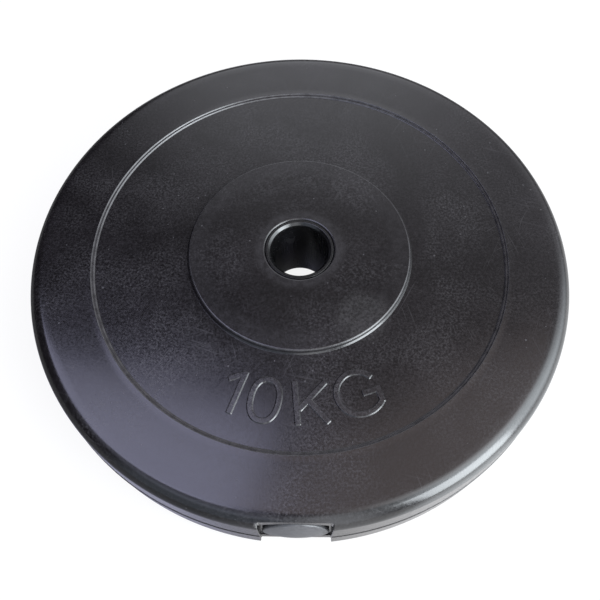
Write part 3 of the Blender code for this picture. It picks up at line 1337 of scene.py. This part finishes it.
def oval(centre: float, half_width: float, half_height: float, points: int) -> Stroke:
    """Return a closed oval stroke.

    Args:
        centre: Distance of its middle below the bore's axis.
        half_width: Half its width.
        half_height: Half its height.
        points: Number of points on it.

    Returns:
        The stroke.
    """
    power = 2 / OVAL_FULLNESS
    line = []
    for index in range(points):
        angle = math.tau * index / points
        across, up = math.cos(angle), math.sin(angle)
        x = math.copysign(abs(across) ** power, across) * half_width
        y = math.copysign(abs(up) ** power, up) * half_height - centre
        line.append((x, y))
    return Stroke(tuple(line), closed=True)


@dataclass
class WeightMark:
    """The raised weight figure on the dish, in plain strokes."""

    sizes: PlateSizes
    foot_width: float = 3.3
    sunk: float = 0.25
    end_round: float = 0.75
    end_segments: int = 5
    cut_slack: float = 1e-7
    sharp_angle: float = 60.0
    rise: tuple[tuple[float, float], ...] = (
        (0.04, 0.02), (0.18, 0.20), (0.16, 0.19), (0.09, 0.08), (0.07, 0.03),
    )
    name: str = "weight_mark"
    signs: tuple[Sign, ...] = field(
        default_factory=lambda: (
            Sign(-19.9, (
                Stroke(((0.0, -74.4), (0.0, -98.0))),
                Stroke(((-7.2, -81.4), (0.1, -75.6))),
            )),
            Sign(-10.6, (oval(86.3, 6.9, 10.7, 72),)),
            Sign(5.6, (
                Stroke(((-8.9, -74.5), (-8.9, -97.3))),
                Stroke(((6.6, -75.8), (-8.2, -89.6))),
                Stroke(((-3.2, -84.6), (6.3, -97.3))),
            )),
            Sign(20.0, (
                Stroke((
                    (9.5, -80.7), (7.2, -77.6), (3.0, -75.5), (-1.8, -75.3), (-6.2, -77.5),
                    (-9.3, -81.3), (-10.3, -86.2), (-9.1, -91.2), (-5.9, -95.1), (-1.2, -97.0),
                    (3.8, -96.9), (7.6, -95.4), (10.4, -93.4),
                ), smooth=True),
                Stroke(((10.4, -94.6), (10.4, -87.2), (2.0, -87.2))),
            )),
        )
    )

    @staticmethod
    def smoothed(line: Sequence[tuple[float, float]], parts: int = 6) -> list[Vector]:
        """Run a smooth line through points.

        Args:
            line: The points.
            parts: Number of pieces between two points.

        Returns:
            The smooth line's points.
        """
        knots = [Vector(point) for point in line]
        knots = [knots[0] * 2 - knots[1], *knots, knots[-1] * 2 - knots[-2]]
        made = []
        for a, b, c, d in zip(knots, knots[1:], knots[2:], knots[3:]):
            for part in range(parts):
                t = part / parts
                even = a * -1 + b * 3 - c * 3 + d
                made.append(b + ((c - a) + ((a * 2 - b * 5 + c * 4 - d) + even * t) * t) * t * 0.5)
        return made + [knots[-2]]

    def sides(self, line: Sequence[Vector], closed: bool) -> list[tuple[Vector, Vector]]:
        """Return the two sides of a ribbon that follows a line.

        Args:
            line: The line's points.
            closed: Whether the line is a loop.

        Returns:
            Pairs of points, one on each side.
        """
        last = len(line) - 1
        pairs = []
        for index, here in enumerate(line):
            ways = []
            if index > 0 or closed:
                ways.append((here - line[index - 1]).normalized())
            if index < last or closed:
                ways.append((line[(index + 1) % len(line)] - here).normalized())
            first, second = (Vector((-way.y, way.x)) for way in (ways[0], ways[-1]))
            reach = (first + second) / (1 + first.dot(second)) * self.foot_width / 2
            pairs.append((here + reach, here - reach))
        return pairs

    def ribbon(self, shape: bmesh.types.BMesh, stroke: Stroke) -> list:
        """Lay a flat ribbon along a stroke, with round corners at its ends.

        Args:
            shape: The bmesh to add to.
            stroke: The stroke.

        Returns:
            The ribbon's faces.
        """
        line = self.smoothed(stroke.line) if stroke.smooth else [Vector(p) for p in stroke.line]
        if stroke.smooth:
            room = 2 * self.end_round
            ends = (line[0], line[-1])
            inner = [p for p in line if min((p - end).length for end in ends) > room]
            line = [ends[0], *inner, ends[1]]
        pairs = [
            [shape.verts.new((*(point * MM), 0.0)) for point in pair]
            for pair in self.sides(line, stroke.closed)
        ]
        rounds = list(zip(pairs, pairs[1:])) + ([(pairs[-1], pairs[0])] if stroke.closed else [])
        for first, second in rounds:
            shape.faces.new((first[0], first[1], second[1], second[0]))
        if not stroke.closed:
            bmesh.ops.bevel(
                shape,
                geom=[*pairs[0], *pairs[-1]],
                offset=self.end_round * MM,
                offset_type="OFFSET",
                affect="VERTICES",
                segments=self.end_segments,
                profile=0.5,
                material=-1,
            )
        return list(shape.faces)

    @staticmethod
    def thicken(shape: bmesh.types.BMesh, faces: list, low: float, high: float) -> list:
        """Make flat faces a slab between two heights in millimetres.

        Args:
            shape: The bmesh.
            faces: The flat faces, at height 0.
            low: Height of the slab's bottom.
            high: Height of the slab's top.

        Returns:
            The slab's top faces.
        """
        made = bmesh.ops.extrude_face_region(shape, geom=faces, use_keep_orig=True)["geom"]
        lifted = [item for item in made if isinstance(item, bmesh.types.BMVert)]
        bottom = list({v for f in faces for v in f.verts})
        bmesh.ops.translate(shape, verts=lifted, vec=(0.0, 0.0, high * MM))
        bmesh.ops.translate(shape, verts=bottom, vec=(0.0, 0.0, low * MM))
        return [item for item in made if isinstance(item, bmesh.types.BMFace)]

    def joined(self, strokes: Sequence[Stroke], name: str) -> bmesh.types.BMesh:
        """Join the strokes of a sign into one flat face.

        Args:
            strokes: The strokes, which cross.
            name: Name for the objects that are used on the way.

        Returns:
            A bmesh with the sign's outline as one face at height 0.
        """
        slabs = []
        for number, stroke in enumerate(strokes):
            slab = bmesh.new()
            self.thicken(slab, self.ribbon(slab, stroke), -1.0 - number, 1.0 + number)
            slabs.append(finish_mesh(slab, f"{name}_{number}"))
        combine(slabs[0], slabs[1:], "UNION")
        shape = bmesh.new()
        shape.from_mesh(slabs[0].data)
        bpy.data.objects.remove(slabs[0], do_unlink=True)
        bmesh.ops.bisect_plane(
            shape,
            geom=[*shape.verts, *shape.edges, *shape.faces],
            dist=self.cut_slack,
            plane_co=(0.0, 0.0, 0.0),
            plane_no=(0.0, 0.0, 1.0),
            clear_inner=True,
            clear_outer=True,
        )
        bmesh.ops.contextual_create(shape, geom=list(shape.edges))
        return shape

    def raised(self, sign: Sign, name: str) -> bpy.types.Object:
        """Build one raised sign with a flared foot and rounded shoulders.

        Args:
            sign: The sign.
            name: The object's name.

        Returns:
            The sign, turned to its place.
        """
        if len(sign.strokes) > 1:
            shape = self.joined(sign.strokes, name)
        else:
            shape = bmesh.new()
            self.ribbon(shape, sign.strokes[0])
        top = self.thicken(shape, list(shape.faces), -self.sunk, 0.0)
        bmesh.ops.recalc_face_normals(shape, faces=shape.faces)
        for inward, upward in self.rise:
            bmesh.ops.inset_region(
                shape, faces=top, use_boundary=True, use_even_offset=True, thickness=inward * MM
            )
            lifted = list({v for f in top for v in f.verts})
            bmesh.ops.translate(shape, verts=lifted, vec=(0.0, 0.0, upward * MM))
        sizes = self.sizes
        turn = Matrix.Rotation(math.radians(sign.turn), 4, "Z")
        place = Matrix.Translation((0.0, 0.0, sizes.mid + sizes.dish)) @ turn
        bmesh.ops.transform(shape, matrix=place, verts=shape.verts)
        return finish_mesh(shape, name)

    def build(self) -> bpy.types.Object:
        """Build the whole mark on the dish."""
        shape = bmesh.new()
        for number, sign in enumerate(self.signs):
            raised = self.raised(sign, f"sign_{number}")
            shape.from_mesh(raised.data)
            bpy.data.objects.remove(raised, do_unlink=True)
        mark = finish_mesh(shape, self.name)
        shade(mark, self.sharp_angle)
        return mark


# ---------------------------------------------------------------- stage


@dataclass(frozen=True)
class SoftLight:
    """One soft studio light, with the direction that it comes from in degrees."""

    name: str
    place: tuple[float, float, float]
    azimuth: float
    elevation: float
    size: tuple[float, float]
    radiance: float
    colour: Colour = (1.0, 1.0, 1.0)

    def build(self) -> None:
        """Hang the light."""
        lamp = bpy.data.lights.new(self.name, "AREA")
        lamp.shape = "RECTANGLE"
        lamp.size, lamp.size_y = self.size
        lamp.energy = self.radiance * math.pi * self.size[0] * self.size[1]
        lamp.color = self.colour
        obj = bpy.data.objects.new(self.name, lamp)
        obj.location = self.place
        turn = math.radians(self.azimuth - 270)
        obj.rotation_euler = (math.radians(90 - self.elevation), 0.0, turn)
        bpy.context.scene.collection.objects.link(obj)


@dataclass(frozen=True)
class SoftBoard:
    """A softly edged reflector board of the surroundings, by its direction in degrees."""

    azimuth: float
    elevation: float
    half_width: float
    half_height: float
    softness: float
    radiance: float
    colour: Colour = (1.0, 1.0, 1.0)

    def light(self, n: Nodes, way: bpy.types.NodeSocket) -> bpy.types.NodeSocket:
        """Add the board's light.

        Args:
            n: Helper of the world's tree.
            way: Socket of the direction looked in.

        Returns:
            Socket of the board's colour.
        """
        part = n.add("ShaderNodeSeparateXYZ")
        n.feed(part.inputs[0], way)
        x, y, z = part.outputs
        turn = math.radians(self.azimuth)
        ahead = n.math("MULTIPLY_ADD", y, math.sin(turn), n.math("MULTIPLY", x, math.cos(turn)))
        aside = n.math("MULTIPLY_ADD", y, math.cos(turn), n.math("MULTIPLY", x, -math.sin(turn)))
        sideways = n.math("ABSOLUTE", n.math("ARCTAN2", aside, ahead))
        upwards = n.math("SUBTRACT", n.math("ARCSINE", z), math.radians(self.elevation))
        mask = n.math(
            "MULTIPLY",
            self.edge(n, sideways, self.half_width),
            self.edge(n, n.math("ABSOLUTE", upwards), self.half_height),
        )
        glow = tuple(part * self.radiance for part in self.colour)
        return n.mix(mask, (0.0, 0.0, 0.0, 1.0), (*glow, 1.0))

    def edge(self, n: Nodes, angle: object, half: float) -> object:
        """Fade a board out at its edge.

        Args:
            n: Helper of the world's tree.
            angle: Socket of the angle from the board's middle.
            half: The board's half size in degrees.

        Returns:
            Socket of the share that is left.
        """
        near, far = math.radians(half - self.softness), math.radians(half + self.softness)
        return n.ramp(angle, far, near)


@dataclass
class Studio:
    """The pale floor, the soft lights and the camera at the photograph's angle."""

    sizes: PlateSizes
    floor_size: float = 6.0
    floor_colour: Colour = (0.86, 0.86, 0.86)
    white_share: float = 0.88
    # In reflections the floor glows with painted light: brighter towards the low right light, with
    # painted shade near the plate and a painted shadow under the bore.
    painted_floor_light_levels: tuple[float, float] = (0.13, 0.62)
    painted_light_side: float = 325.0
    painted_light_side_range: tuple[float, float] = (0.2, 0.8)
    painted_shade_near_plate: tuple[float, float] = (0.85, 1.45)
    painted_shade_near_range: tuple[float, float] = (0.03, 0.12)
    painted_bore_shadow_edge: float = 0.002
    floor_sheen: float = 0.22
    floor_sheen_roughness: float = 0.30
    dim_room: Colour = (0.035, 0.031, 0.035)
    focal_length: float = 41.80
    camera_distance: float = 0.377476
    camera_elevation: float = 1.022
    camera_turn: float = 1.31
    camera_roll: float = -0.011
    camera_shift: float = -0.074
    sensor_width: float = 36.0
    near_clip: float = 0.01
    lights: tuple[SoftLight, ...] = (
        SoftLight(
            "low_right_box", (0.937, -0.759, 0.487), 321.5, 22, (0.71, 0.95), 8.5, (0.90, 0.96, 1.0)
        ),
        SoftLight(
            "overhead_box", (-0.71, 0.055, 1.55), 257, 90, (1.10, 0.95), 3.5, (0.70, 0.71, 1.0)
        ),
        SoftLight(
            "warm_ceiling", (0.52, -0.07, 1.55), 300, 90, (1.10, 1.10), 0.8, (1.0, 0.84, 0.82)
        ),
    )
    boards: tuple[SoftBoard, ...] = (
        SoftBoard(345, 35, 31, 33, 22, 5.8, (0.88, 0.95, 1.0)),
        SoftBoard(282, 32, 12, 38, 8, 2.0, (0.92, 0.95, 1.0)),
        SoftBoard(92, 32, 16, 17, 10, 1.6, (0.92, 0.94, 1.0)),
        SoftBoard(50, 30, 30, 21, 10, 0.72, (0.94, 0.94, 1.0)),
        SoftBoard(240, 22, 26, 30, 8, 0.60, (0.72, 0.84, 1.0)),
        SoftBoard(226, 56, 36, 18, 8, 0.72, (0.72, 0.76, 1.0)),
        SoftBoard(22, 57, 14, 10, 9, 1.3, (0.92, 0.95, 1.0)),
        SoftBoard(68, 66, 34, 14, 8, 0.19, (1.0, 0.94, 0.97)),
    )

    def floor(self) -> bpy.types.Object:
        """Lay the floor: white to the camera with the plate's shadow, and glowing with painted
        light in reflections.
        """
        shape = bmesh.new()
        bmesh.ops.create_grid(shape, x_segments=2, y_segments=2, size=self.floor_size / 2)
        mesh = bpy.data.meshes.new("pale_floor")
        shape.to_mesh(mesh)
        shape.free()
        obj = bpy.data.objects.new("pale_floor", mesh)
        bpy.context.scene.collection.objects.link(obj)
        material = bpy.data.materials.new("pale_floor")
        material.use_nodes = True
        n = Nodes(material.node_tree)
        material.node_tree.nodes.remove(material.node_tree.nodes["Principled BSDF"])
        matte = n.add("ShaderNodeBsdfDiffuse", inputs={"Color": (*self.floor_colour, 1.0)})
        white = n.add("ShaderNodeEmission", inputs={"Strength": 1.0})
        place = n.add("ShaderNodeTexCoord").outputs["Object"]
        apart = n.add("ShaderNodeVectorMath", operation="LENGTH")
        n.feed(apart.inputs[0], place)
        # Painted shadow: under the bore the floor gives no glow in reflections.
        bore = self.sizes.sleeve_radius
        outside_painted_bore_shadow = n.ramp(apart.outputs["Value"], bore, bore + self.painted_bore_shadow_edge)
        # Painted light: in reflections the floor glows brighter on the low right light's side.
        painted_floor_glow = n.add("ShaderNodeEmission")
        way = n.add("ShaderNodeVectorMath", operation="NORMALIZE")
        n.feed(way.inputs[0], place)
        side = n.add("ShaderNodeVectorMath", operation="DOT_PRODUCT")
        n.feed(side.inputs[0], way.outputs[0])
        turn = math.radians(self.painted_light_side)
        side.inputs[1].default_value = (math.cos(turn), math.sin(turn), 0.0)
        level = n.ramp(side.outputs["Value"], *self.painted_light_side_range, self.painted_floor_light_levels)
        # Painted shade: the glow is dimmer close to the plate's foot.
        near, far = (self.sizes.radius + step for step in self.painted_shade_near_range)
        away = n.ramp(apart.outputs["Value"], near, far, self.painted_shade_near_plate)
        level = n.math("MULTIPLY", n.math("MULTIPLY", outside_painted_bore_shadow, away), level)
        n.feed(painted_floor_glow.inputs["Strength"], level)
        polish = n.add("ShaderNodeBsdfAnisotropic")
        polish.inputs["Roughness"].default_value = self.floor_sheen_roughness
        polish.inputs["Color"].default_value = (*([self.floor_sheen] * 3), 1.0)
        reflected = n.add("ShaderNodeAddShader")
        n.feed(reflected.inputs[0], painted_floor_glow.outputs[0])
        n.feed(reflected.inputs[1], polish.outputs[0])
        clear = n.add("ShaderNodeBsdfTransparent")
        path = n.add("ShaderNodeLightPath").outputs
        straight = n.math("MAXIMUM", path["Is Camera Ray"], path["Is Transmission Ray"])
        below = n.add("ShaderNodeNewGeometry").outputs["Backfacing"]
        shown = matte
        for share, other in (
            (n.math("MULTIPLY", straight, self.white_share), white),
            (path["Is Glossy Ray"], reflected),
            (below, clear),
        ):
            both = n.add("ShaderNodeMixShader")
            n.feed(both.inputs[0], share)
            n.feed(both.inputs[1], shown.outputs[0])
            n.feed(both.inputs[2], other.outputs[0])
            shown = both
        n.feed(material.node_tree.nodes["Material Output"].inputs[0], shown.outputs[0])
        mesh.materials.append(material)
        return obj

    def world(self) -> None:
        """Set the dim room with its soft boards, white to the camera."""
        world = bpy.data.worlds.new("soft_room")
        bpy.context.scene.world = world
        world.use_nodes = True
        n = Nodes(world.node_tree)
        back = world.node_tree.nodes["Background"]
        way = n.add("ShaderNodeTexCoord").outputs["Generated"]
        total: object = (*self.dim_room, 1.0)
        for board in self.boards:
            both = n.add("ShaderNodeMix", data_type="RGBA", blend_type="ADD")
            both.inputs["Factor"].default_value = 1.0
            n.feed(both.inputs[6], total)
            n.feed(both.inputs[7], board.light(n, way))
            total = both.outputs[2]
        seen = n.add("ShaderNodeLightPath").outputs["Is Camera Ray"]
        n.feed(back.inputs["Color"], n.mix(seen, total, (1.0, 1.0, 1.0, 1.0)))

    def camera(self) -> None:
        """Place the camera at the photograph's viewing angle."""
        level = math.cos(self.camera_elevation) * self.camera_distance
        height = math.sin(self.camera_elevation) * self.camera_distance
        place = Matrix.Rotation(math.radians(self.camera_turn), 3, "Z") @ Vector(
            (0.0, -level, height)
        )
        forward = -place.normalized()
        right = forward.cross(Vector((0.0, 0.0, 1.0))).normalized()
        up = right.cross(forward)
        forward = (forward + up * self.camera_shift).normalized()
        right = forward.cross(up).normalized()
        up = right.cross(forward)
        turn = Matrix.Rotation(self.camera_roll, 3, forward)
        right, up = turn.transposed() @ right, turn.transposed() @ up
        frame = Matrix((right, up, -forward)).transposed().to_4x4()
        data = bpy.data.cameras.new("camera")
        data.lens = self.focal_length
        data.sensor_width = self.sensor_width
        data.clip_start = self.near_clip
        obj = bpy.data.objects.new("camera", data)
        obj.matrix_world = Matrix.Translation(
            place + Vector((0.0, 0.0, self.sizes.thickness))
        ) @ frame
        bpy.context.scene.collection.objects.link(obj)
        bpy.context.scene.camera = obj

    def build(self) -> None:
        """Set up the whole stage."""
        self.floor()
        self.world()
        self.camera()
        for light in self.lights:
            light.build()
        bpy.context.scene.view_settings.view_transform = "Standard"


# ---------------------------------------------------------------- assembly


def dress(obj: bpy.types.Object, material: bpy.types.Material, node: str | None) -> None:
    """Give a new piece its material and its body.

    Args:
        obj: The piece.
        material: Its material.
        node: The CAD node that the piece stands for, if any.
    """
    obj.data.materials.clear()
    obj.data.materials.append(material)
    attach(obj, "root")
    if node:
        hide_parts(node)
    LOG.info("%s: %d faces", obj.name, len(obj.data.polygons))


def main() -> None:
    """Build the plate's looks and its studio."""
    logging.basicConfig(level=logging.INFO, format="%(name)s: %(message)s")
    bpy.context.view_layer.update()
    sizes = PlateSizes()
    effects = Effects()
    shell_plastic = Finish.SHELL.value.material(effects)
    dress(MouldedShell(sizes).build(), shell_plastic, "outer_shell")
    mark_plastic = Finish.MARK.value.material(effects)
    dress(WeightMark(sizes).build(), mark_plastic, None)
    sleeve_plastic = Finish.SLEEVE.value.material(effects)
    dress(BoreSleeve(sizes).build(), sleeve_plastic, "bore_sleeve")
    plug_plastic = Finish.PLUG.value.material(effects)
    dress(FillerPlug(sizes).build(), plug_plastic, "filler_plug")
    fill = frame["nodes"]["weight_fill"]
    fill.data.materials.clear()
    fill.data.materials.append(CastFill().material())
    LOG.info("weight_fill: CAD node with the cast finish")
    Studio(sizes).build()


if __name__ == "__main__":
    main()
